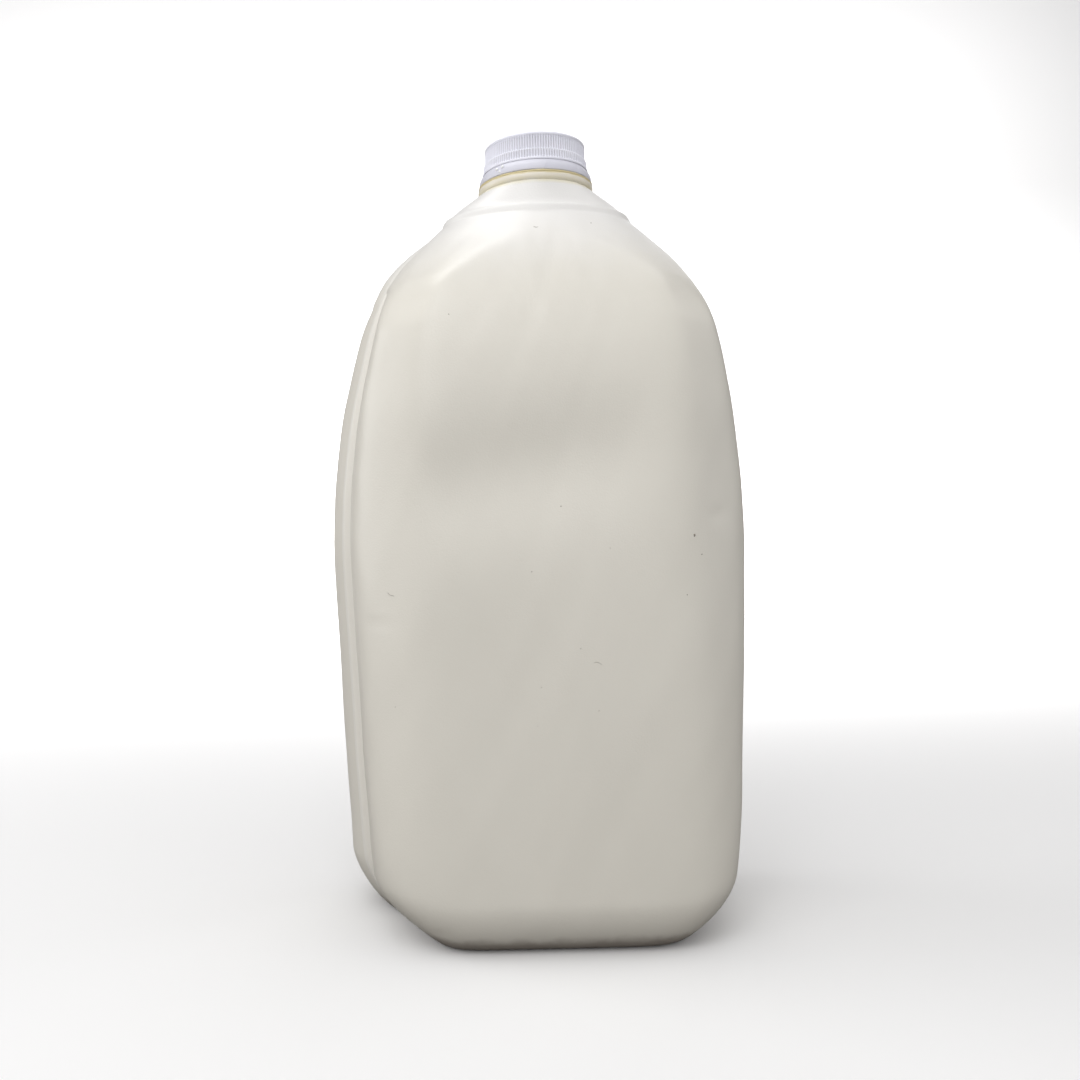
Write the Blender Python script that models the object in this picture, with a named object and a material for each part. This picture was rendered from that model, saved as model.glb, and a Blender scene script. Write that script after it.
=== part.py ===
"""Shut plastic jug of cooking cream: a blow-moulded body, a ribbed screw cap and its tamper band.

Run with: blender --background --python part.py
The jug stands on z = 0 with its neck on the Z axis and its front towards -Y. Sizes below are in millimetres.
"""
import math

import bmesh
import bpy
import numpy as np

MM = 0.001

# Heights of the neck, from the shoulder's collar up
COLLAR_LOW = 281.2
COLLAR_TOP = 284.8
BEAD_LOW = 294.4
BEAD_TOP = 298.0
NECK_TOP = 309.8

# Radii of the neck's bead and of the plain neck that carries the cap
BEAD_RADIUS = 23.4
NECK_RADIUS = 18.6

# Tamper band: it flares out over the bead
BAND_LOW = 298.35
BAND_TOP = 303.1
BAND_OUTER = 22.9
BAND_INNER = 19.1

# Screw cap: two ribbed tiers under a smooth rim
CAP_LOW = 303.4
CAP_TIER = 307.3
CAP_TOP = 314.3
CAP_INNER = 18.95
CAP_ROOF = 310.2
CAP_LOWER_RADIUS = 21.2
CAP_UPPER_RADIUS = 20.4
RIB_COUNT = 120
RIB_DEPTH = 0.35
BAND_SIDES = 64
SHARP_ANGLE = math.radians(38)

# Body profiles: pairs of height and distance from the neck's axis.
# The two mould halves differ: the rear half stands out sideways past the parting ridge.
REAR_WIDTH = [(0, 79.7), (30, 80.8), (62, 82.6), (96, 84.1), (130, 85.7), (152, 86.5), (172, 85.7),
              (189, 83.9), (205, 81.5), (222, 77.7), (239, 73.3), (252, 69.2)]
RIDGE_SETBACK = [(0, 11.8), (37, 9.6), (90, 9.4), (150, 9.2), (220, 8.9), (240, 8.6)]
PANEL_DEPTH = [(0, 52.5), (40, 53.8), (100, 54.8), (150, 54.6), (190, 53.8), (208, 52.9), (222, 51.4),
               (234, 49.2), (245, 46.3), (254, 43.0), (262, 39.2), (270, 34.8), (276, 31.0), (281.2, 27.0)]
CORNER_REACH = [(0, 73.2), (40, 75.2), (100, 74.8), (150, 73.1), (183, 71.9), (200, 71.5), (216, 70.3),
                (233, 68.2), (245, 63.2), (252, 60.6)]
REAR_CORNER_EXTRA = 8.5
CORNER_FACING = (0.652, 0.758)

# Shoulder dome, which runs from the collar down into the walls
DOME_WIDTH = [(230, 84.0), (245, 71.0), (250, 67.0), (254.8, 63.7), (263, 57.8), (267.4, 53.9),
              (273.5, 47.6), (281.2, 39.0)]
DOME_REAR_WIDTH = [(230, 90.0), (245, 76.0), (250, 72.0), (254, 70.1), (262, 66.0), (270.5, 58.2), (277, 48.6),
                   (281.2, 39.6)]
DOME_DEPTH = [(230, 74.0), (245, 60.5), (250, 56.5), (261, 45.0), (271, 34.8), (277, 30.2), (281.2, 27.0)]
DOME_FOOT = 230.0
DOME_SPREAD = 0.05

# Collar and neck cone: oval below, round where the bead begins
NECK_WIDTH = [(281.2, 39.0), (284.0, 37.7), (284.8, 36.4), (288.5, 31.6), (291.0, 27.9), (294.4, 23.0)]
NECK_DEPTH = [(281.2, 27.0), (284.0, 26.2), (284.8, 24.9), (288.5, 23.7), (291.0, 23.3), (294.4, 22.9)]

# How crisp the edges between the walls are: a higher power gives a sharper edge
EDGE_POWER = [(0, 15), (60, 18), (160, 19), (195, 22), (230, 32), (250, 60), (281.2, 80)]
WALL_TOP = 252.0
WALL_FADE = 12.0

# Rounding of the foot, and the slanted cut across its two front corners, a little deeper on the left
FOOT_SIDE = (13.0, 24.0, 1.45)
FOOT_REAR_SIDE = (17.0, 24.0, 1.45)
FOOT_CORNER = (17.0, 24.0, 1.7)
FOOT_PANEL = (15.0, 21.0, 1.7)
FOOT_CUT_LEFT = 34.6
FOOT_CUT_RIGHT = 37.4
FOOT_CUT_RISE = 0.79
FOOT_CUT_NORMAL = (0.58, 0.25)

SIDE_LEAN = math.radians(2.5)
SIDE_SWELL = 1.3
REAR_TURN = math.radians(13.0)

# Parting ridge along both sides: a step out from the front half to the rear half
RIDGE_STEP = [(0, 3.2), (238, 3.2), (258, 2.0), (273, 1.2), (279, 0.0)]
RIDGE_WIDTH = 1.6
RIDGE_RUN = [(238, 66.4), (245.2, 64.4), (250, 62.8), (256.6, 60.2), (264.8, 55.1), (269.2, 50.9),
             (275.3, 44.8), (281.2, 39.0)]
RIDGE_RUN_LOW = 238.0
RIDGE_RUN_FULL = 246.0
RIDGE_RUN_TURN = math.radians(10.0)

# Shallow hollows in the front panel: x and z of the middle, half width, half height, tilt and depth
DENTS = [
    (-9.0, 179.0, 43.0, 22.0, 0.18, 3.6),
    (-33.0, 97.0, 32.0, 52.0, 0.0, 1.8),
]

# Colours, roughness and metallic value of each piece
FINISHES = {
    "jug_body": ((0.76, 0.72, 0.64), 0.45, 0.0),
    "screw_cap": ((0.73, 0.74, 0.82), 0.4, 0.0),
    "tamper_band": ((0.71, 0.71, 0.79), 0.4, 0.0),
}


def profile(stations, height):
    """Smooth monotone curve through pairs of height and value, read at any heights."""
    heights = np.array([pair[0] for pair in stations], float)
    values = np.array([pair[1] for pair in stations], float)
    spans = np.diff(heights)
    slopes = np.diff(values) / spans
    tangents = np.concatenate(([slopes[0]], np.zeros(len(values) - 2), [slopes[-1]]))
    for i in range(1, len(values) - 1):
        if slopes[i - 1] * slopes[i] > 0:
            near = 2 * spans[i] + spans[i - 1]
            far = spans[i] + 2 * spans[i - 1]
            tangents[i] = (near + far) / (near / slopes[i - 1] + far / slopes[i])
    height = np.clip(np.asarray(height, float), heights[0], heights[-1])
    k = np.clip(np.searchsorted(heights, height, side="right") - 1, 0, len(spans) - 1)
    t = (height - heights[k]) / spans[k]
    level = values[k] * (1 + 2 * t) * (1 - t) ** 2 + values[k + 1] * t * t * (3 - 2 * t)
    lean = spans[k] * (tangents[k] * t * (1 - t) ** 2 - tangents[k + 1] * t * t * (1 - t))
    return level + lean


def soft_smallest(reaches, power):
    """The smallest of several reaches, with the change from one to the next rounded off."""
    total = sum((1.0 / reach) ** power for reach in reaches)
    return total ** (-1.0 / power)


def foot_inset(height, rounding):
    """How far the foot's rounding draws a wall in at a height."""
    wide, tall, power = rounding
    t = np.clip(1.0 - height / tall, 0.0, 1.0)
    return wide * (1.0 - (1.0 - t ** power) ** (1.0 / power))


def dome_reach(width_stations, across, along, height):
    """Reach of the shoulder dome, which opens out fast below its foot so that the walls take over."""
    width = profile(width_stations, height)
    depth = profile(DOME_DEPTH, height)
    oval = 1.0 / np.sqrt((across / width) ** 2 + (along / depth) ** 2)
    return oval * (1.0 + DOME_SPREAD * np.clip(DOME_FOOT - height, 0.0, None))


def half_reaches(turn, height, foot_cut):
    """Reach of the front half and of the rear half. turn is 0 at the side and a quarter turn at the panel."""
    across = np.abs(np.cos(turn))
    along = np.abs(np.sin(turn))
    slant = CORNER_FACING[0] * across + CORNER_FACING[1] * along
    power = profile(EDGE_POWER, height)
    release = 1.0 + (np.clip(height - WALL_TOP, 0.0, None) / WALL_FADE) ** 2
    rear_width = profile(REAR_WIDTH, height)
    front_width = rear_width - profile(RIDGE_SETBACK, height)
    panel = profile(PANEL_DEPTH, height) - foot_inset(height, FOOT_PANEL)
    corner = profile(CORNER_REACH, height) - foot_inset(height, FOOT_CORNER)
    cut_across, cut_along = FOOT_CUT_NORMAL
    front = soft_smallest([
        (front_width + SIDE_SWELL - foot_inset(height, FOOT_SIDE)) * release
        / np.maximum(np.cos(turn - SIDE_LEAN), 1e-3),
        panel / np.maximum(along, 1e-3),
        corner * release / slant,
        dome_reach(DOME_WIDTH, across, along, height),
        (foot_cut + FOOT_CUT_RISE * height) / (cut_across * across + cut_along * along),
    ], power)
    rear = soft_smallest([
        (rear_width + SIDE_SWELL - foot_inset(height, FOOT_REAR_SIDE)) * release / np.maximum(across, 1e-3),
        panel / np.maximum(along, 1e-3),
        (corner + REAR_CORNER_EXTRA) * release / slant,
        dome_reach(DOME_REAR_WIDTH, across, along, height),
    ], power)
    return front, rear


def body_point(angle, height):
    """Point of the body's skin. The angle is 0 at +X and grows towards the back."""
    across = np.cos(angle)
    along = np.sin(angle)
    turn = np.arctan2(np.abs(along), np.abs(across))
    foot_cut = np.where(across < 0, FOOT_CUT_LEFT, FOOT_CUT_RIGHT)
    front, rear = half_reaches(turn, height, foot_cut)
    side, _ = half_reaches(np.zeros_like(turn), height, foot_cut)
    run_share = np.clip((height - RIDGE_RUN_LOW) / (RIDGE_RUN_FULL - RIDGE_RUN_LOW), 0.0, 1.0)
    shift = (profile(RIDGE_RUN, height) - side) * run_share
    front = front + shift * np.exp(-(turn / RIDGE_RUN_TURN) ** 2)
    side = side + shift
    ease = np.sin(np.clip(turn / REAR_TURN, 0.0, 1.0) * math.pi / 2)
    step = profile(RIDGE_STEP, height)
    climb = np.clip(1.0 - np.abs(front * along) / RIDGE_WIDTH, 0.0, 1.0)
    climb = climb * climb * (3.0 - 2.0 * climb)
    reach = np.where(along <= 0, front + step * climb, (side + step) * (1 - ease) + rear * ease)
    x = reach * across
    y = reach * along
    hollow = 0.0
    for mid_x, mid_z, half_width, half_height, tilt, depth in DENTS:
        off = ((x - mid_x) / half_width) ** 4 + ((height - mid_z - tilt * (x - mid_x)) / half_height) ** 2
        hollow = hollow + depth * np.exp(-off)
    y = y + np.where(along < 0, hollow, 0.0)
    return x, y


def neck_point(angle, height):
    """Point of the collar and the neck cone, an oval that turns round as it rises."""
    width = profile(NECK_WIDTH, height)
    depth = profile(NECK_DEPTH, height)
    across = np.cos(angle)
    along = np.sin(angle)
    reach = 1.0 / np.sqrt((across / width) ** 2 + (along / depth) ** 2)
    return reach * across, reach * along


def ring(points, height):
    """One level loop of the mesh, in metres."""
    x, y = points
    return [(a * MM, b * MM, height * MM) for a, b in zip(x, y)]


def circle(angles, radius):
    return radius * np.cos(angles), radius * np.sin(angles)


def piece_of_rings(name, rings, closed_loop=False):
    """Solid made of level loops that share one count of points, with flat ends or joined end to end."""
    base_color, roughness, metallic = FINISHES[name]
    mesh = bpy.data.meshes.new(name)
    bm = bmesh.new()
    loops = [[bm.verts.new(point) for point in loop] for loop in rings]
    pairs = list(zip(loops, loops[1:]))
    if closed_loop:
        pairs.append((loops[-1], loops[0]))
    else:
        bm.faces.new(loops[0])
        bm.faces.new(loops[-1])
    for low, high in pairs:
        for i in range(len(low)):
            j = (i + 1) % len(low)
            bm.faces.new((low[i], low[j], high[j], high[i]))
    bmesh.ops.recalc_face_normals(bm, faces=bm.faces)
    bm.to_mesh(mesh)
    bm.free()
    mesh.shade_smooth()
    mesh.set_sharp_from_angle(angle=SHARP_ANGLE)
    material = bpy.data.materials.new(name)
    material.use_nodes = True
    shader = material.node_tree.nodes["Principled BSDF"]
    shader.inputs["Base Color"].default_value = (*base_color, 1.0)
    shader.inputs["Roughness"].default_value = roughness
    shader.inputs["Metallic"].default_value = metallic
    mesh.materials.append(material)
    piece = bpy.data.objects.new(name, mesh)
    bpy.context.scene.collection.objects.link(piece)
    return piece


def body_angles():
    """Directions round the body, close together at the parting ridge and even elsewhere."""
    quarter = [0.0, 0.55, 1.15, 2.3, 5.0, 9.0, 13.0, 20.0, 27.0, 34.0, 41.0, 48.0, 56.0, 65.0, 77.0, 90.0]
    half = quarter + [180.0 - turn for turn in quarter[-2::-1]]
    whole = half + [turn + 180.0 for turn in half[1:-1]]
    return np.radians(whole)


def make_body():
    angles = body_angles()
    walls = [0.0, 0.6, 1.8, 3.8, 6.5, 10.0, 14.0, 18.5, 24.0, 40.0, 60.0, 80.0, 100.0, 120.0, 136.0, 150.0,
             160.0, 169.0, 177.0, 185.0, 194.0, 204.0, 216.0, 226.0, 235.0, 242.0, 247.0, 251.0, 256.0,
             261.0, 266.0, 271.0, 276.0]
    rings = [ring(body_point(angles, height), height) for height in walls]
    for height in (COLLAR_LOW, 284.0, COLLAR_TOP, 286.6, 288.5, 291.0, BEAD_LOW):
        rings.append(ring(neck_point(angles, height), height))
    bead_height = BEAD_TOP - BEAD_LOW
    for share, inset in ((0.25, 0.1), (0.6, 0.0), (0.9, 0.3), (1.0, 0.8)):
        rings.append(ring(circle(angles, BEAD_RADIUS - inset), BEAD_LOW + share * bead_height))
    rings.append(ring(circle(angles, NECK_RADIUS), BEAD_TOP))
    rings.append(ring(circle(angles, NECK_RADIUS), NECK_TOP))
    return piece_of_rings("jug_body", rings)


def make_cap():
    angles = np.linspace(0.0, 2 * math.pi, 2 * RIB_COUNT, endpoint=False)
    groove = np.where(np.arange(2 * RIB_COUNT) % 2 == 0, 0.0, RIB_DEPTH)

    def ribbed(radius, height):
        return ring(circle(angles, radius - groove), height)

    def plain(radius, height):
        return ring(circle(angles, radius), height)

    rings = [
        plain(CAP_INNER, CAP_ROOF),
        plain(CAP_INNER, CAP_LOW),
        plain(CAP_LOWER_RADIUS + 0.1, CAP_LOW),
        ribbed(CAP_LOWER_RADIUS, CAP_LOW + 0.5),
        ribbed(CAP_LOWER_RADIUS - 0.2, CAP_TIER - 0.3),
        ribbed(CAP_UPPER_RADIUS + 0.1, CAP_TIER + 0.3),
        ribbed(CAP_UPPER_RADIUS - 0.1, CAP_TOP - 1.2),
        plain(CAP_UPPER_RADIUS - 0.3, CAP_TOP - 0.6),
        plain(CAP_UPPER_RADIUS - 1.2, CAP_TOP),
    ]
    return piece_of_rings("screw_cap", rings)


def make_band():
    angles = np.linspace(0.0, 2 * math.pi, BAND_SIDES, endpoint=False)
    outline = [
        (BAND_INNER, BAND_TOP),
        (BAND_INNER, BAND_LOW),
        (BAND_OUTER - 0.3, BAND_LOW),
        (BAND_OUTER, BAND_LOW + 0.5),
        (BAND_OUTER - 0.1, BAND_LOW + 2.0),
        (BAND_OUTER - 0.8, BAND_LOW + 3.4),
        (CAP_LOWER_RADIUS + 0.1, BAND_TOP),
    ]
    rings = [ring(circle(angles, radius), height) for radius, height in outline]
    return piece_of_rings("tamper_band", rings, closed_loop=True)


for old in list(bpy.data.objects):
    bpy.data.objects.remove(old, do_unlink=True)

make_body()
make_cap()
make_band()
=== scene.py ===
"""Looks of a shut jug of cooking cream: a milky blow-moulded body, a ribbed cap and a tamper band.

The jug stands on z = 0 with its neck on the Z axis and its front towards -Y.
Sizes are in millimetres, and turn into metres where a mesh, a lamp or the camera is made.
"""
import math

import bpy
import numpy as np
from mathutils import Matrix, Vector


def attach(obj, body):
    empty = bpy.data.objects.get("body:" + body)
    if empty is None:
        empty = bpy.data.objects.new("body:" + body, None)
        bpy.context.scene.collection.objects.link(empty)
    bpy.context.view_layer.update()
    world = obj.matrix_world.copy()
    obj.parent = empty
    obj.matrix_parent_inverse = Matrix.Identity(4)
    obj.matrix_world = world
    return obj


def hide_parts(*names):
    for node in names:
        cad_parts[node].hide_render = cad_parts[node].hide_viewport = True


MM = 0.001

# Camera: at mid height, a little left of the jug, looking straight at the front panel, with a slight roll
EYE = (-45.0, -430.0, 153.5)
EYE_TURN = math.radians(0.5)
EYE_ROLL = math.radians(1.15)
SENSOR_WIDTH = 36.0
LENS = 34.8
SHIFT = (0.0906, 0.0018)

# Heights and radii of the neck, from the shoulder's collar up
COLLAR_LOW = 281.2
BEAD_LOW = 294.4
BEAD_TOP = 298.0
NECK_TOP = 309.8
BEAD_RADIUS = 23.4
BEAD_BULGE = 0.9
NECK_RADIUS = 18.6

# Tamper band: it flares out over the bead
BAND_LOW = 298.35
BAND_TOP = 303.1
BAND_OUTER = 22.9
BAND_INNER = 19.1

# Screw cap: two ribbed tiers under a smooth rim
CAP_LOW = 303.4
CAP_TIER = 307.3
CAP_TOP = 314.3
CAP_INNER = 18.95
CAP_ROOF = 310.2
CAP_LOWER_RADIUS = 21.2
CAP_UPPER_RADIUS = 20.4
RIB_COUNT = 120
RIB_DEPTH = 0.5
STEPS_PER_RIB = 10

# Body profiles: pairs of height and distance from the neck's axis.
# The two mould halves differ: the rear half stands out sideways past the parting ridge.
REAR_WIDTH = [(0, 79.7), (30, 80.8), (62, 82.6), (96, 84.1), (130, 85.7), (152, 86.5), (172, 85.7),
              (189, 83.9), (205, 81.5), (222, 77.7), (239, 73.3), (252, 69.2)]
RIDGE_SETBACK = [(0, 11.8), (37, 9.6), (90, 9.4), (150, 9.2), (220, 8.9), (240, 8.6)]
PANEL_DEPTH = [(0, 52.5), (40, 53.8), (100, 54.8), (150, 54.6), (190, 53.8), (208, 52.9), (222, 51.4),
               (234, 49.2), (245, 46.3), (254, 43.0), (262, 39.2), (270, 34.8), (276, 31.0), (281.2, 27.0)]
CORNER_REACH = [(0, 73.2), (40, 75.2), (100, 74.8), (150, 73.1), (183, 71.9), (200, 71.5), (216, 70.3),
                (233, 68.2), (245, 63.2), (252, 60.6)]
REAR_CORNER_EXTRA = 8.5
CORNER_FACING = (0.652, 0.758)

# Shoulder dome, which runs from the collar down into the walls
DOME_WIDTH = [(230, 84.0), (245, 71.0), (250, 67.0), (254.8, 63.7), (263, 57.8), (267.4, 53.9),
              (273.5, 47.6), (281.2, 39.0)]
DOME_REAR_WIDTH = [(230, 90.0), (245, 76.0), (250, 72.0), (254, 70.1), (262, 66.0), (270.5, 58.2),
                   (277, 48.6), (281.2, 39.6)]
DOME_DEPTH = [(230, 74.0), (245, 60.5), (250, 56.5), (261, 45.0), (271, 34.8), (277, 30.2), (281.2, 27.0)]
DOME_FOOT = 230.0
DOME_SPREAD = 0.05

# Collar and neck cone: oval below, round where the bead begins
NECK_WIDTH = [(281.2, 39.0), (284.0, 37.7), (284.8, 36.4), (288.5, 31.6), (291.0, 27.9), (294.4, 23.0)]
NECK_DEPTH = [(281.2, 27.0), (284.0, 26.2), (284.8, 24.9), (288.5, 23.7), (291.0, 23.3), (294.4, 22.9)]

# How crisp the edges between the walls are: a higher power gives a sharper edge
EDGE_POWER = [(0, 15), (60, 18), (160, 19), (195, 22), (230, 32), (250, 60), (281.2, 80)]
WALL_TOP = 252.0
WALL_FADE = 12.0

# Rounding of the foot, and the slanted cut across its two front corners, a little deeper on the left
FOOT_SIDE = (13.0, 24.0, 1.45)
FOOT_REAR_SIDE = (17.0, 24.0, 1.45)
FOOT_CORNER = (17.0, 24.0, 1.7)
FOOT_PANEL = (15.0, 21.0, 1.7)
FOOT_CUT_LEFT = 34.6
FOOT_CUT_RIGHT = 37.4
FOOT_CUT_RISE = 0.79
FOOT_CUT_NORMAL = (0.58, 0.25)

SIDE_LEAN = math.radians(2.5)
SIDE_SWELL = 1.3
REAR_TURN = math.radians(13.0)

# Parting ridge along both sides: a step out from the front half to the rear half, with a groove at its foot
RIDGE_STEP = [(0, 3.2), (238, 3.2), (258, 2.0), (273, 1.2), (279, 0.0)]
RIDGE_WIDTH = 1.6
RIDGE_RUN = [(238, 66.4), (245.2, 64.4), (250, 62.8), (256.6, 60.2), (264.8, 55.1), (269.2, 50.9),
             (275.3, 44.8), (281.2, 39.0)]
RIDGE_RUN_LOW = 238.0
RIDGE_RUN_FULL = 246.0
RIDGE_RUN_TURN = math.radians(10.0)
GROOVE_DEPTH = 0.2
GROOVE_PLACE = 1.95
GROOVE_WIDTH = 0.3

# Shallow hollows in the front panel: x and z of the middle, half width, half height, tilt and depth
DENTS = [
    (-9.0, 179.0, 43.0, 22.0, 0.18, 3.6),
    (-33.0, 97.0, 32.0, 52.0, 0.0, 1.8),
]

# Small knocks in the skin: x, y, z of the middle, reach along x or y, reach along z, slope and depth
KNOCKS = [
    (63.4, -45.2, 162.1, 5.0, 2.4, 0.1, 0.55),
    (-67.5, -41.0, 123.8, 8.5, 0.8, 0.0, 0.28),
    (61.0, -48.0, 69.0, 1.0, 5.5, -0.9, 0.3),
    (65.5, -43.5, 60.0, 1.1, 6.5, -0.9, 0.35),
    (-46.9, -47.5, 8.5, 3.5, 1.0, 0.5, 0.5),
]

# Fine waves of a blow-moulded wall: wave length round the jug and up it, and height.
# The way round is measured at a mean radius.
WAVES = [(37.0, 61.0, 0.10), (23.0, 41.0, 0.07), (13.0, 29.0, 0.035)]
MEAN_RADIUS = 70.0

# Dark specks on the front: x, z, width
SPECKS = [(50.1, 154.1, 0.95), (53.0, 147.1, 0.45), (46.6, 132.6, 0.38), (1.6, 165.6, 0.4),
          (18.8, 150.1, 0.32), (-9.6, 142.1, 0.36), (-60.1, 93.1, 0.36), (-6.9, 100.3, 0.34),
          (-8.6, 86.3, 0.3), (-15.7, 107.3, 0.3), (7.4, 114.1, 0.34), (13.5, 91.6, 0.34),
          (18.2, 275.0, 0.5), (-37.6, 236.7, 0.36)]
SPECK_RISE = 0.12

# Lint on the front: pairs of x and z along each fibre
FIBRES = [
    [(-62.2, 135.1), (-61.2, 134.2), (-60.2, 134.0), (-59.7, 133.9)],
    [(12.0, 108.8), (12.9, 109.2), (13.9, 108.9), (14.9, 108.1)],
    [(-4.3, 272.9), (-3.4, 272.5), (-2.6, 272.7)],
]
FIBRE_RADIUS = 0.09
FIBRE_SIDES = 6
FIBRE_LIFT = 0.06

# Drops on the band, coloured white so that they show as glints (painted highlights): angle in degrees,
# height, width
DROPS = [(-137.5, 301.0, 1.2), (-130.0, 301.4, 1.3), (-133.5, 299.8, 1.2)]
DROP_RISE = 0.28
DROP_SINK = 0.12

# Creases in the band: angle in degrees, lean in degrees per millimetre, width in degrees and depth
BAND_CREASES = [(-88.0, 1.2, 1.5, -0.12), (-49.0, 0.8, 1.8, 0.14)]

# Dried cream: radius and height of the middle of its ring
DRIED_RADIUS = 22.9
DRIED_HEIGHT = BEAD_TOP - 0.2

SHARP_EDGE = math.radians(50)

# Square softboxes, all aimed at the jug's upper half: place, side and power in watts
SOFTBOX_AIM = (0.0, 0.0, 180.0)
SOFTBOXES = {
    "front_low_softbox": ((0.0, -893.0, 290.0), 700.0, 0.4),
    "front_high_softbox": ((-110.0, -627.0, 816.0), 400.0, 1.2),
    "front_left_softbox": ((-447.0, -638.0, 630.0), 500.0, 1.3),
    "left_softbox": ((-856.0, 151.0, 413.0), 500.0, 1.4),
    "rear_softbox": ((211.0, 788.0, 560.0), 600.0, 1.0),
}


def profile(stations, height):
    """Smooth monotone curve through pairs of height and value, read at any heights."""
    heights = np.array([pair[0] for pair in stations], float)
    values = np.array([pair[1] for pair in stations], float)
    spans = np.diff(heights)
    slopes = np.diff(values) / spans
    tangents = np.concatenate(([slopes[0]], np.zeros(len(values) - 2), [slopes[-1]]))
    for i in range(1, len(values) - 1):
        if slopes[i - 1] * slopes[i] > 0:
            near = 2 * spans[i] + spans[i - 1]
            far = spans[i] + 2 * spans[i - 1]
            tangents[i] = (near + far) / (near / slopes[i - 1] + far / slopes[i])
    height = np.clip(np.asarray(height, float), heights[0], heights[-1])
    k = np.clip(np.searchsorted(heights, height, side="right") - 1, 0, len(spans) - 1)
    t = (height - heights[k]) / spans[k]
    level = values[k] * (1 + 2 * t) * (1 - t) ** 2 + values[k + 1] * t * t * (3 - 2 * t)
    lean = spans[k] * (tangents[k] * t * (1 - t) ** 2 - tangents[k + 1] * t * t * (1 - t))
    return level + lean


def eased(value, start, end):
    """0 at start, 1 at end, with a soft turn at both."""
    t = np.clip((value - start) / (end - start), 0.0, 1.0)
    return t * t * (3.0 - 2.0 * t)


def soft_smallest(reaches, power):
    """The smallest of several reaches, with the change from one to the next rounded off."""
    total = sum((1.0 / reach) ** power for reach in reaches)
    return total ** (-1.0 / power)


def foot_inset(height, rounding):
    """How far the foot's rounding draws a wall in at a height."""
    wide, tall, power = rounding
    t = np.clip(1.0 - height / tall, 0.0, 1.0)
    return wide * (1.0 - (1.0 - t ** power) ** (1.0 / power))


def dome_reach(width_stations, across, along, height):
    """Reach of the shoulder dome, which opens out fast below its foot so that the walls take over."""
    width = profile(width_stations, height)
    depth = profile(DOME_DEPTH, height)
    oval = 1.0 / np.sqrt((across / width) ** 2 + (along / depth) ** 2)
    return oval * (1.0 + DOME_SPREAD * np.clip(DOME_FOOT - height, 0.0, None))


def half_reaches(turn, height, foot_cut):
    """Reach of the front half and of the rear half. turn is 0 at the side and a quarter turn at the panel."""
    across = np.abs(np.cos(turn))
    along = np.abs(np.sin(turn))
    slant = CORNER_FACING[0] * across + CORNER_FACING[1] * along
    power = profile(EDGE_POWER, height)
    release = 1.0 + (np.clip(height - WALL_TOP, 0.0, None) / WALL_FADE) ** 2
    rear_width = profile(REAR_WIDTH, height)
    front_width = rear_width - profile(RIDGE_SETBACK, height)
    panel = profile(PANEL_DEPTH, height) - foot_inset(height, FOOT_PANEL)
    corner = profile(CORNER_REACH, height) - foot_inset(height, FOOT_CORNER)
    cut_across, cut_along = FOOT_CUT_NORMAL
    front = soft_smallest([
        (front_width + SIDE_SWELL - foot_inset(height, FOOT_SIDE)) * release
        / np.maximum(np.cos(turn - SIDE_LEAN), 1e-3),
        panel / np.maximum(along, 1e-3),
        corner * release / slant,
        dome_reach(DOME_WIDTH, across, along, height),
        (foot_cut + FOOT_CUT_RISE * height) / (cut_across * across + cut_along * along),
    ], power)
    rear = soft_smallest([
        (rear_width + SIDE_SWELL - foot_inset(height, FOOT_REAR_SIDE)) * release / np.maximum(across, 1e-3),
        panel / np.maximum(along, 1e-3),
        (corner + REAR_CORNER_EXTRA) * release / slant,
        dome_reach(DOME_REAR_WIDTH, across, along, height),
    ], power)
    return front, rear


def wall_waves(angle, height):
    """Low waves in the thin wall, which fade towards the ridge, the foot and the collar."""
    girth = MEAN_RADIUS * angle
    waves = 0.0
    for k, (round_length, up_length, rise) in enumerate(WAVES):
        drift = 1.7 * k + 0.6
        snake = 0.9 * np.sin(height / 31.0 + k)
        sideways = np.sin(2 * math.pi * girth / round_length + drift + snake)
        upward = np.cos(2 * math.pi * height / up_length + 2.1 * drift)
        waves = waves + rise * (sideways * upward)
    calm = eased(np.abs(np.sin(angle)), 0.03, 0.25) * eased(height, 2.0, 20.0) * eased(height, 281.0, 268.0)
    return waves * calm


def knocks(x, y, height):
    """Depth of the small knocks and creases at a point of the skin."""
    depth = 0.0
    for mid_x, mid_y, mid_z, reach, tall, slope, deep in KNOCKS:
        aside = np.hypot(x - mid_x, y - mid_y) * np.sign(x - mid_x)
        off = (aside / reach) ** 2 + ((height - mid_z - slope * aside) / tall) ** 2
        depth = depth + deep * np.exp(-off)
    return depth


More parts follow.
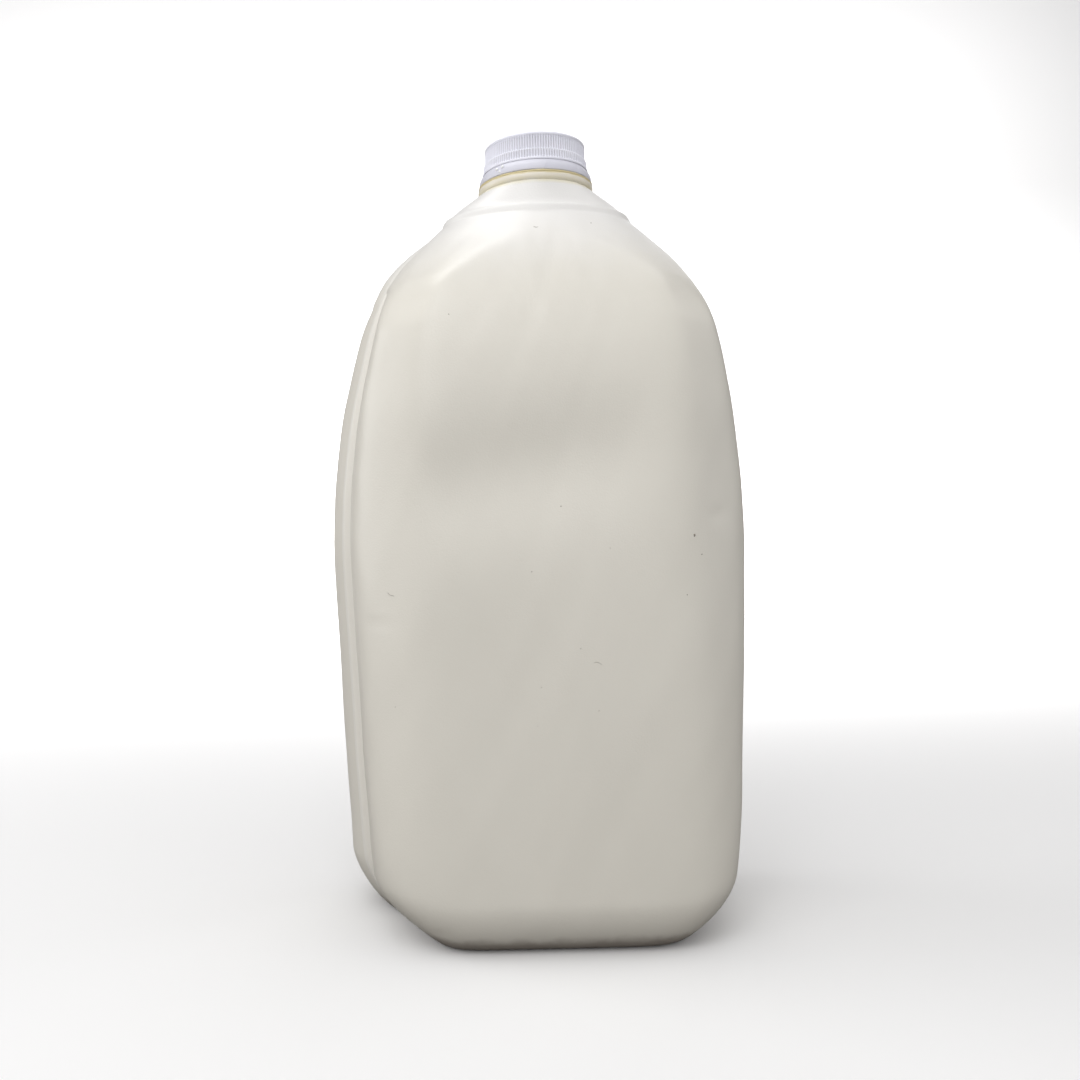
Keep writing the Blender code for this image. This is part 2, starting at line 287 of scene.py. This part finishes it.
def body_point(angle, height):
    """Point of the body's skin. The angle is 0 at +X and grows towards the back."""
    across = np.cos(angle)
    along = np.sin(angle)
    turn = np.arctan2(np.abs(along), np.abs(across))
    foot_cut = np.where(across < 0, FOOT_CUT_LEFT, FOOT_CUT_RIGHT)
    front, rear = half_reaches(turn, height, foot_cut)
    side, _ = half_reaches(np.zeros_like(turn), height, foot_cut)
    run_share = np.clip((height - RIDGE_RUN_LOW) / (RIDGE_RUN_FULL - RIDGE_RUN_LOW), 0.0, 1.0)
    shift = (profile(RIDGE_RUN, height) - side) * run_share
    front = front + shift * np.exp(-(turn / RIDGE_RUN_TURN) ** 2)
    side = side + shift
    ease = np.sin(np.clip(turn / REAR_TURN, 0.0, 1.0) * math.pi / 2)
    step = profile(RIDGE_STEP, height)
    climb = eased(np.abs(front * along), RIDGE_WIDTH, 0.0)
    reach = np.where(along <= 0, front + step * climb, (side + step) * (1 - ease) + rear * ease)
    groove = np.exp(-((front * along + GROOVE_PLACE) / GROOVE_WIDTH) ** 2)
    reach = reach - GROOVE_DEPTH * groove * eased(step, 0.0, 2.0)
    reach = reach + wall_waves(angle, height)
    reach = reach - knocks(reach * across, reach * along, height)
    x = reach * across
    y = reach * along
    hollow = 0.0
    for mid_x, mid_z, half_width, half_height, tilt, depth in DENTS:
        off = ((x - mid_x) / half_width) ** 4 + ((height - mid_z - tilt * (x - mid_x)) / half_height) ** 2
        hollow = hollow + depth * np.exp(-off)
    y = y + np.where(along < 0, hollow, 0.0)
    return x, y


def neck_point(angle, height):
    """Point of the collar and the neck cone, an oval that turns round as it rises."""
    width = profile(NECK_WIDTH, height)
    depth = profile(NECK_DEPTH, height)
    across = np.cos(angle)
    along = np.sin(angle)
    reach = 1.0 / np.sqrt((across / width) ** 2 + (along / depth) ** 2)
    return reach * across, reach * along


def level_loop(points, height):
    """One level loop of points, in millimetres. The height is one number or one for each point."""
    x, y = points
    return np.column_stack((x, y, np.broadcast_to(height, np.shape(x))))


def circle(angles, radius):
    return radius * np.cos(angles), radius * np.sin(angles)


def ring_piece(name, loops, material, ends="flat"):
    """Smooth mesh through loops with one count of points. The ends are flat, or joined to each other."""
    count = len(loops[0])
    points = np.concatenate(loops) * MM
    i = np.arange(count)
    j = (i + 1) % count
    last = len(loops) if ends == "joined" else len(loops) - 1
    faces = []
    for k in range(last):
        low = k * count
        high = ((k + 1) % len(loops)) * count
        faces.extend(np.column_stack((low + i, low + j, high + j, high + i)).tolist())
    if ends == "flat":
        faces.append(list(range(count))[::-1])
        faces.append([last * count + step for step in range(count)])
    mesh = bpy.data.meshes.new(name)
    mesh.from_pydata(points.tolist(), [], faces)
    mesh.validate()
    mesh.shade_smooth()
    mesh.set_sharp_from_angle(angle=SHARP_EDGE)
    mesh.materials.append(material)
    piece = bpy.data.objects.new(name, mesh)
    bpy.context.scene.collection.objects.link(piece)
    return piece


def shrunk(loop, share):
    """A loop drawn in towards its own middle, level with it."""
    middle = loop.mean(axis=0)
    return middle + (loop - middle) * np.array([share, share, 1.0])


def skin_angles():
    """Directions round the body, very close together at the parting ridge and even elsewhere."""
    near = np.concatenate((np.arange(0.0, 1.9, 0.1), np.arange(1.9, 3.4, 0.25)))
    quarter = np.concatenate((near, np.linspace(3.5, 90.0, 76)))
    half = np.concatenate((quarter, 180.0 - quarter[-2::-1]))
    whole = np.concatenate((half, half[1:-1] + 180.0))
    return np.radians(whole)


def skin_heights():
    """Heights of the body's loops: close at the foot and the shoulder, wider along the walls."""
    foot = np.linspace(0.0, 1.0, 22) ** 1.6 * 24.0
    walls = np.linspace(26.2, 232.0, 92)
    shoulder = np.linspace(233.2, COLLAR_LOW - 0.5, 44)
    return np.concatenate((foot, walls, shoulder))


def make_body(material):
    angles = skin_angles()
    loops = []
    for height in skin_heights():
        loops.append(level_loop(body_point(angles, height), height))
    base = loops[0]
    loops = [shrunk(base, share) for share in (0.02, 0.3, 0.6, 0.85, 0.96)] + loops
    for height in np.linspace(COLLAR_LOW, BEAD_LOW, 30):
        loops.append(level_loop(neck_point(angles, height), height))
    rise = BEAD_TOP - BEAD_LOW
    for turn in np.radians(np.linspace(-75.0, 90.0, 14)):
        radius = BEAD_RADIUS - BEAD_BULGE + BEAD_BULGE * math.cos(turn)
        height = BEAD_LOW + rise * (0.5 + 0.5 * math.sin(turn))
        loops.append(level_loop(circle(angles, radius), height))
    loops.append(level_loop(circle(angles, NECK_RADIUS), BEAD_TOP))
    loops.append(level_loop(circle(angles, NECK_RADIUS), NECK_TOP))
    return ring_piece("milky_jug", loops, material)


def make_cap(material):
    angles = np.linspace(0.0, 2 * math.pi, RIB_COUNT * STEPS_PER_RIB, endpoint=False)
    valley = (0.5 - 0.5 * np.cos(RIB_COUNT * angles)) ** 1.4

    def ribbed(radius, height, share=1.0):
        return level_loop(circle(angles, radius - RIB_DEPTH * share * valley), height)

    low = CAP_LOWER_RADIUS
    top = CAP_UPPER_RADIUS
    loops = [
        ribbed(0.4, CAP_ROOF, 0),
        ribbed(CAP_INNER - 1.0, CAP_ROOF, 0),
        ribbed(CAP_INNER, CAP_ROOF - 1.0, 0),
        ribbed(CAP_INNER, CAP_LOW + 0.2, 0),
        ribbed(CAP_INNER + 0.2, CAP_LOW, 0),
        ribbed(low + 0.19, CAP_LOW, 0),
        ribbed(low + 0.2, BAND_TOP - 0.1, 0),
        ribbed(low + 0.24, BAND_TOP - 0.12, 0),
        ribbed(low + 0.29, BAND_TOP - 0.05, 0),
        ribbed(low + 0.3, CAP_LOW + 0.2, 0),
        ribbed(low + 0.24, CAP_LOW + 0.45, 0),
        ribbed(low + 0.08, CAP_LOW + 0.6, 0.3),
        ribbed(low, CAP_LOW + 0.7, 1),
        ribbed(low - 0.05, CAP_LOW + 1.4),
        ribbed(low - 0.12, CAP_TIER - 1.1),
        ribbed(low - 0.18, CAP_TIER - 0.35),
        ribbed(low - 0.3, CAP_TIER - 0.1, 0.7),
        ribbed(low - 0.5, CAP_TIER + 0.02, 0.45),
        ribbed(top + 0.12, CAP_TIER + 0.1, 0.45),
        ribbed(top + 0.04, CAP_TIER + 0.3, 0.8),
        ribbed(top, CAP_TIER + 0.7),
        ribbed(top - 0.03, CAP_TIER + 2.2),
        ribbed(top - 0.06, CAP_TIER + 4.2),
        ribbed(top - 0.1, CAP_TOP - 1.7),
        ribbed(top - 0.06, CAP_TOP - 1.45, 0.45),
        ribbed(top, CAP_TOP - 1.1, 0),
        ribbed(top + 0.03, CAP_TOP - 0.8, 0),
        ribbed(top - 0.02, CAP_TOP - 0.5, 0),
        ribbed(top - 0.4, CAP_TOP - 0.15, 0),
        ribbed(top - 0.65, CAP_TOP - 0.03, 0),
        ribbed(top - 1.0, CAP_TOP, 0),
        ribbed(top - 2.0, CAP_TOP - 0.05, 0),
        ribbed(top - 2.6, CAP_TOP - 0.3, 0),
        ribbed(top - 3.4, CAP_TOP - 0.35, 0),
        ribbed(8.0, CAP_TOP - 0.35, 0),
        ribbed(0.4, CAP_TOP - 0.35, 0),
    ]
    return ring_piece("ribbed_cap", loops, material)


def make_band(material):
    angles = np.linspace(-math.pi, math.pi, 320, endpoint=False)
    outline = [
        (BAND_INNER, BAND_TOP - 0.2),
        (BAND_INNER, BAND_LOW + 0.3),
        (BAND_INNER + 0.3, BAND_LOW),
        (BAND_OUTER - 0.45, BAND_LOW),
        (BAND_OUTER - 0.2, BAND_LOW + 0.06),
        (BAND_OUTER - 0.03, BAND_LOW + 0.25),
        (BAND_OUTER, BAND_LOW + 0.55),
        (BAND_OUTER - 0.02, BAND_LOW + 1.2),
        (BAND_OUTER - 0.12, BAND_LOW + 2.0),
        (BAND_OUTER - 0.4, BAND_LOW + 2.8),
        (BAND_OUTER - 0.8, BAND_LOW + 3.4),
        (BAND_OUTER - 1.3, BAND_LOW + 4.1),
        (CAP_LOWER_RADIUS + 0.15, BAND_TOP - 0.2),
        (CAP_LOWER_RADIUS - 0.1, BAND_TOP),
        (BAND_INNER + 0.3, BAND_TOP),
    ]
    loops = []
    for radius, height in outline:
        reach = np.full(len(angles), radius)
        if radius > BAND_OUTER - 1.5:
            for middle, lean, width, depth in BAND_CREASES:
                off = np.degrees(angles) - middle - lean * (height - BAND_LOW)
                reach = reach - depth * np.exp(-(off / width) ** 2)
        loops.append(level_loop(circle(angles, reach), height))
    return ring_piece("flared_band", loops, material, ends="joined")


def make_dried_ring(material):
    """Dried cream caught between the band and the bead: a thin uneven ring."""
    angles = np.linspace(-math.pi, math.pi, 256, endpoint=False)
    swell = 0.85 + 0.25 * np.sin(3 * angles + 0.4) * np.sin(7 * angles) + 0.1 * np.sin(19 * angles)
    loops = []
    for turn in np.radians(np.arange(0.0, 360.0, 30.0)):
        radius = DRIED_RADIUS + 0.4 * swell * math.cos(turn)
        height = DRIED_HEIGHT + (0.2 + 0.3 * swell) * math.sin(turn)
        loops.append(level_loop(circle(angles, radius), height))
    return ring_piece("dried_cream_ring", loops, material, ends="joined")


def skin_spot(x, height):
    """Point of the front skin at a given x and height, and the direction that it faces."""
    angles = np.radians(np.arange(-179.5, 0.0, 0.25))

    def depth_at(x, height):
        skin_x, skin_y = body_point(angles, height)
        order = np.argsort(skin_x)
        return float(np.interp(x, skin_x[order], skin_y[order]))

    step = 0.6
    y = depth_at(x, height)
    along_x = Vector((2 * step, depth_at(x + step, height) - depth_at(x - step, height), 0.0))
    along_z = Vector((0.0, depth_at(x, height + step) - depth_at(x, height - step), 2 * step))
    return Vector((x, y, height)), along_x.cross(along_z).normalized()


def mesh_piece(name, points, faces, material):
    mesh = bpy.data.meshes.new(name)
    mesh.from_pydata([tuple(Vector(point) * MM) for point in points], [], faces)
    mesh.validate()
    mesh.shade_smooth()
    mesh.materials.append(material)
    piece = bpy.data.objects.new(name, mesh)
    bpy.context.scene.collection.objects.link(piece)
    return piece


def add_blob(points, faces, middle, facing, width, height, uneven, seed):
    """A low rounded blob that sits on a surface: a rim under the skin, two rings and a peak."""
    aside = facing.orthogonal().normalized()
    up = facing.cross(aside)
    count = 14
    first = len(points)
    for share, rise in ((1.0, -0.12), (0.86, 0.42), (0.5, 0.86)):
        for i in range(count):
            turn = 2 * math.pi * i / count
            lobes = uneven * math.sin(2 * turn + seed) + uneven * math.sin(3 * turn - seed)
            reach = 0.5 * width * share * (1 + lobes)
            points.append(middle + aside * (reach * math.cos(turn)) + up * (reach * math.sin(turn))
                          + facing * (rise * height))
    points.append(middle + facing * height)
    for k in range(2):
        for i in range(count):
            j = (i + 1) % count
            low = first + k * count
            high = low + count
            faces.append((low + i, low + j, high + j, high + i))
    peak = first + 3 * count
    for i in range(count):
        faces.append((peak - count + i, peak - count + (i + 1) % count, peak))


def make_specks(material):
    points = []
    faces = []
    for k, (x, height, width) in enumerate(SPECKS):
        middle, facing = skin_spot(x, height)
        add_blob(points, faces, middle, facing, width, SPECK_RISE, 0.16, 1.3 * k)
    return mesh_piece("dark_specks", points, faces, material)


def make_glint_drops(material):
    points = []
    faces = []
    for k, (degrees, height, width) in enumerate(DROPS):
        turn = math.radians(degrees)
        facing = Vector((math.cos(turn), math.sin(turn), 0.0))
        middle = facing * BAND_OUTER + Vector((0.0, 0.0, height))
        middle = middle - facing * DROP_SINK
        add_blob(points, faces, middle, facing, width, DROP_RISE, 0.08, 2.0 * k)
    return mesh_piece("glint_drops", points, faces, material)


def make_fibres(material):
    points = []
    faces = []
    sides = FIBRE_SIDES
    for line in FIBRES:
        spots = []
        for (x0, z0), (x1, z1) in zip(line, line[1:]):
            spots.extend(((x0 + (x1 - x0) * t, z0 + (z1 - z0) * t) for t in (0.0, 0.33, 0.67)))
        spots.append(line[-1])
        first = len(points)
        for x, height in spots:
            middle, facing = skin_spot(x, height)
            across = facing.cross(Vector((1.0, 0.0, -0.3))).normalized()
            for i in range(sides):
                turn = 2 * math.pi * i / sides
                points.append(middle + facing * (FIBRE_LIFT + FIBRE_RADIUS * math.sin(turn))
                              + across * (FIBRE_RADIUS * math.cos(turn)))
        for k in range(len(spots) - 1):
            for i in range(sides):
                j = (i + 1) % sides
                low = first + k * sides
                faces.append((low + i, low + j, low + sides + j, low + sides + i))
    return mesh_piece("lint_fibres", points, faces, material)


class Wire:
    """A number that a shader works out. Arithmetic on it adds Math nodes to the same finish."""

    def __init__(self, finish, socket):
        self.finish = finish
        self.socket = socket

    def math(self, operation, first, second):
        node = self.finish.add("ShaderNodeMath", {"operation": operation}, {0: first, 1: second})
        return Wire(self.finish, node.outputs[0])

    def __add__(self, other):
        return self.math("ADD", self, other)

    def __sub__(self, other):
        return self.math("SUBTRACT", self, other)

    def __mul__(self, other):
        return self.math("MULTIPLY", self, other)

    def __rsub__(self, other):
        return self.math("SUBTRACT", other, self)

    __radd__ = __add__
    __rmul__ = __mul__


class Finish:
    """One material: its nodes and its main shader."""

    def __init__(self, name, **sockets):
        self.material = bpy.data.materials.new(name)
        self.material.use_nodes = True
        self.nodes = self.material.node_tree.nodes
        self.shader = self.nodes["Principled BSDF"]
        for socket, value in sockets.items():
            self.set(socket.replace("_", " ").title().replace("Ior", "IOR"), value)
        self.spot = self.add("ShaderNodeTexCoord").outputs["Object"]

    def join(self, value, socket):
        """Links a value to a socket, or sets the socket where the value is plain."""
        if isinstance(value, Wire):
            value = value.socket
        if isinstance(value, bpy.types.NodeSocket):
            self.material.node_tree.links.new(value, socket)
        else:
            socket.default_value = value

    def set(self, socket, value):
        if not isinstance(value, (Wire, bpy.types.NodeSocket)) and np.size(value) == 3:
            value = (*value, 1.0)
        self.join(value, self.shader.inputs[socket])

    def add(self, kind, settings=None, values=None):
        """A node of a kind, with its settings made first and then the values or links of its sockets."""
        node = self.nodes.new(kind)
        for name, setting in (settings or {}).items():
            setattr(node, name, setting)
        for name, value in (values or {}).items():
            self.join(value, node.inputs[name])
        return node

    def noise(self, scale, detail=2.0, roughness=0.5, stretch=(1.0, 1.0, 1.0)):
        """Noise with a middle near 0.5. The scale is in features per metre."""
        spot = self.spot
        if stretch != (1.0, 1.0, 1.0):
            longer = self.add("ShaderNodeVectorMath", {"operation": "MULTIPLY"}, {0: spot, 1: stretch})
            spot = longer.outputs[0]
        node = self.add("ShaderNodeTexNoise", {"noise_dimensions": "3D"},
                        {"Vector": spot, "Scale": scale, "Detail": detail, "Roughness": roughness})
        return Wire(self, node.outputs["Fac"])

    def height(self):
        """Height above the floor, in millimetres."""
        parts = self.add("ShaderNodeSeparateXYZ", None, {0: self.spot})
        return Wire(self, parts.outputs["Z"]) * 1000.0

    def behind_ridge(self):
        """Distance behind the middle plane that the parting ridge lies in, in millimetres."""
        parts = self.add("ShaderNodeSeparateXYZ", None, {0: self.spot})
        return Wire(self, parts.outputs["Y"]) * 1000.0

    def from_axis(self):
        """Distance from the neck's axis, in millimetres."""
        flat = self.add("ShaderNodeVectorMath", {"operation": "MULTIPLY"},
                        {0: self.spot, 1: (1000.0, 1000.0, 0.0)})
        length = self.add("ShaderNodeVectorMath", {"operation": "LENGTH"}, {0: flat.outputs[0]})
        return Wire(self, length.outputs["Value"])

    def share(self, value, start, end):
        """0 where a value is at start and 1 where it is at end, with a soft turn at both."""
        node = self.add("ShaderNodeMapRange", {"interpolation_type": "SMOOTHSTEP"},
                        {"Value": value, "From Min": start, "From Max": end, "To Min": 0.0, "To Max": 1.0})
        return Wire(self, node.outputs["Result"])

    def blend(self, factor, first, second):
        """Mix of two colours."""
        node = self.add("ShaderNodeMix", {"data_type": "RGBA", "blend_type": "MIX"})
        self.join(factor, node.inputs[0])
        for color, socket in ((first, node.inputs[6]), (second, node.inputs[7])):
            if not isinstance(color, bpy.types.NodeSocket):
                color = (*color, 1.0)
            self.join(color, socket)
        return node.outputs[2]

    def bump(self, height, distance):
        """Relief of a distance in millimetres."""
        node = self.add("ShaderNodeBump", None,
                        {"Height": height, "Distance": distance * MM, "Strength": 1.0})
        self.set("Normal", node.outputs["Normal"])


def milky_plastic():
    """Natural milk-white jug wall with cream behind it: cream below, whiter and cooler at the empty neck."""
    finish = Finish("milky_plastic", roughness=0.42, ior=1.5)
    height = finish.height()
    cloud = finish.noise(16.0, 3.0)
    mottle = finish.noise(90.0, 3.0)
    body = finish.blend(cloud, (0.80, 0.773, 0.70), (0.775, 0.748, 0.672))
    neck_share = finish.share(height + mottle * 10.0, 250.0, 292.0)
    color = finish.blend(neck_share, body, (0.86, 0.85, 0.83))
    off = finish.behind_ridge()
    # Painted highlight: a lighter band along the parting ridge, which fades out below the collar.
    painted_ridge_light = finish.share(off * off, 2.6, 1.2) * finish.share(height, 281.0, 274.0)
    color = finish.blend(painted_ridge_light * 0.6, color, (0.87, 0.85, 0.80))
    # Painted shade: the foot's rounding is darkened towards the floor in its colour, with a mottled edge.
    painted_foot_shade = finish.share(height + mottle * 6.0, 11.5, 6.0)
    color = finish.blend(painted_foot_shade * 0.85, color, (0.36, 0.32, 0.28))
    patchy_noise = finish.noise(210.0, 2.0)
    upper = finish.share(height + patchy_noise * 0.8, 297.1, 297.8)
    # A darker, yellower tint in the crease under the bead, in patches.
    crease = finish.share(height, 292.6, 294.2) * finish.share(height, 296.4, 294.8)
    bead = finish.share(height, 294.6, 295.4)
    color = finish.blend(bead, color, (0.84, 0.79, 0.68))
    color = finish.blend(upper * 0.9, color, (0.66, 0.56, 0.30))
    color = finish.blend(crease * (0.1 + patchy_noise * 0.8), color, (0.80, 0.73, 0.48))
    finish.set("Base Color", color)
    grain = finish.noise(1500.0, 2.0, 0.6)
    pebble = finish.noise(420.0, 2.0)
    finish.set("Roughness", 0.30 + mottle * 0.10)
    finish.bump(grain + pebble * 0.4, 0.06)
    return finish.material


def cap_plastic():
    """White moulded cap, a little bluish, with painted shade in the valleys between the ribs."""
    finish = Finish("cap_plastic", roughness=0.4, ior=1.5)
    mottle = finish.noise(260.0, 3.0)
    color = finish.blend(mottle, (0.88, 0.885, 0.97), (0.84, 0.845, 0.94))
    upper = finish.share(finish.height(), CAP_TIER, CAP_TIER + 0.2)
    crest = CAP_LOWER_RADIUS - upper * (CAP_LOWER_RADIUS - CAP_UPPER_RADIUS)
    # Painted shade: the valleys between the ribs are darkened in colour, fading out near the rim.
    valley = finish.share(crest - finish.from_axis(), 0.12, RIB_DEPTH)
    walls = finish.share(finish.height(), CAP_TOP - 1.6, CAP_TOP - 2.3)
    color = finish.blend(valley * walls * 0.38, color, (0.42, 0.41, 0.40))
    finish.set("Base Color", color)
    finish.set("Roughness", 0.34 + mottle * 0.14)
    finish.bump(finish.noise(1800.0, 2.0), 0.02)
    return finish.material


def band_plastic():
    """Thin white band, softly marked where it was bent over the bead."""
    finish = Finish("band_plastic", roughness=0.42, ior=1.5)
    mottle = finish.noise(180.0, 3.0, stretch=(1.0, 1.0, 0.35))
    color = finish.blend(mottle, (0.735, 0.735, 0.815), (0.685, 0.685, 0.77))
    finish.set("Base Color", color)
    finish.set("Roughness", 0.36 + mottle * 0.14)
    finish.bump(finish.noise(900.0, 3.0), 0.03)
    return finish.material


def dried_cream():
    finish = Finish("dried_cream", roughness=0.35, ior=1.45)
    patch = finish.noise(300.0, 3.0)
    finish.set("Base Color", finish.blend(patch, (0.72, 0.63, 0.38), (0.62, 0.53, 0.28)))
    finish.set("Roughness", 0.25 + patch * 0.2)
    finish.bump(patch, 0.15)
    return finish.material


def white_glint_drop():
    # Painted highlight: the drops are white, not clear, so that they show as bright glints on the band.
    finish = Finish("white_glint_drop", roughness=0.04, ior=1.34, coat_weight=1.0, coat_roughness=0.02)
    finish.set("Base Color", finish.blend(finish.noise(500.0), (1.0, 1.0, 1.0), (0.94, 0.96, 0.98)))
    return finish.material


def dark_grit():
    finish = Finish("dark_grit", roughness=0.8)
    finish.set("Base Color", finish.blend(finish.noise(2500.0), (0.20, 0.18, 0.15), (0.36, 0.32, 0.27)))
    return finish.material


def lint():
    finish = Finish("lint", roughness=0.8)
    finish.set("Base Color", finish.blend(finish.noise(1500.0), (0.42, 0.39, 0.34), (0.30, 0.28, 0.25)))
    return finish.material


def studio_floor():
    """Pale matt floor. It throws back less light than it shows, so that the jug is not lit from below."""
    finish = Finish("studio_floor", roughness=0.9, specular_ior_level=0.1)
    seen = finish.add("ShaderNodeLightPath").outputs["Is Camera Ray"]
    finish.set("Base Color", finish.blend(seen, (0.22, 0.21, 0.20), (0.96, 0.96, 0.96)))
    return finish.material


def make_sweep(material):
    """Pale floor that curves up into a backdrop behind the jug."""
    near = -3000.0
    bend_start = 900.0
    bend = 900.0
    top = 3200.0
    half_width = 3500.0
    line = [(near, 0.0), (bend_start, 0.0)]
    for degrees in range(5, 91, 5):
        turn = math.radians(degrees)
        line.append((bend_start + bend * math.sin(turn), bend * (1.0 - math.cos(turn))))
    line.append((bend_start + bend, top))
    points = []
    for y, z in line:
        points.append((-half_width, y, z))
        points.append((half_width, y, z))
    faces = [(2 * k, 2 * k + 1, 2 * k + 3, 2 * k + 2) for k in range(len(line) - 1)]
    sweep = mesh_piece("studio_sweep", points, faces, material)


def add_softbox(name, place, aim, size, power, spread=180.0):
    lamp = bpy.data.lights.new(name, "AREA")
    lamp.shape = "RECTANGLE"
    lamp.size = size[0] * MM
    lamp.size_y = size[1] * MM
    lamp.energy = power
    lamp.spread = math.radians(spread)
    box = bpy.data.objects.new(name, lamp)
    box.location = Vector(place) * MM
    box.rotation_mode = "QUATERNION"
    box.rotation_quaternion = (Vector(aim) - Vector(place)).to_track_quat("-Z", "Y")
    bpy.context.scene.collection.objects.link(box)
    return box


def light_studio():
    """Soft lamps in pale air. The ceiling glow makes highlights only, and one lamp lights the backdrop."""
    for name, (place, side, power) in SOFTBOXES.items():
        add_softbox(name, place, SOFTBOX_AIM, (side, side), power)
    glow = add_softbox("ceiling_glow", (-170.0, -30.0, 860.0), SOFTBOX_AIM, (420.0, 420.0), 1.5)
    glow.visible_diffuse = False
    add_softbox("backdrop_softbox", (0.0, 900.0, 2200.0), (0.0, 1500.0, 300.0), (2600.0, 500.0), 20.0, 70.0)
    world = bpy.data.worlds.new("studio_air")
    world.use_nodes = True
    air = world.node_tree.nodes["Background"]
    air.inputs["Color"].default_value = (1.0, 0.995, 1.0, 1.0)
    air.inputs["Strength"].default_value = 0.77
    bpy.context.scene.world = world
    bpy.context.scene.view_settings.view_transform = "Standard"


def place_camera():
    lens = bpy.data.cameras.new("photo_camera")
    lens.sensor_fit = "HORIZONTAL"
    lens.sensor_width = SENSOR_WIDTH
    lens.lens = LENS
    lens.shift_x, lens.shift_y = SHIFT
    lens.clip_start = 0.02
    lens.clip_end = 20.0
    camera = bpy.data.objects.new("photo_camera", lens)
    level = Matrix.Rotation(math.pi / 2, 4, "X")
    camera.matrix_world = (Matrix.Translation(Vector(EYE) * MM) @ Matrix.Rotation(-EYE_TURN, 4, "Z")
                           @ level @ Matrix.Rotation(-EYE_ROLL, 4, "Z"))
    bpy.context.scene.collection.objects.link(camera)
    bpy.context.scene.camera = camera


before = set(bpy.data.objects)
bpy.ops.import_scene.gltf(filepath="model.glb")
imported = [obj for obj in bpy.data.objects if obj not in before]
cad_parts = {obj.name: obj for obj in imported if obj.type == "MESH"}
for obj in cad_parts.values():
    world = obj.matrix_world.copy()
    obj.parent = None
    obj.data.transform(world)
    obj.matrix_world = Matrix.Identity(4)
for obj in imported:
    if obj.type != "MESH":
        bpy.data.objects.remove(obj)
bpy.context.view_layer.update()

jug = make_body(milky_plastic())
cap = make_cap(cap_plastic())
band = make_band(band_plastic())
dressing = [
    make_dried_ring(dried_cream()),
    make_glint_drops(white_glint_drop()),
    make_specks(dark_grit()),
    make_fibres(lint()),
]
for piece, node, slot in ((jug, "jug_body", "milky_plastic"), (cap, "screw_cap", "cap_plastic"),
                          (band, "tamper_band", "band_plastic")):
    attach(piece, "root")
    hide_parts(node)
for piece in dressing:
    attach(piece, "root")

make_sweep(studio_floor())
light_studio()
place_camera()
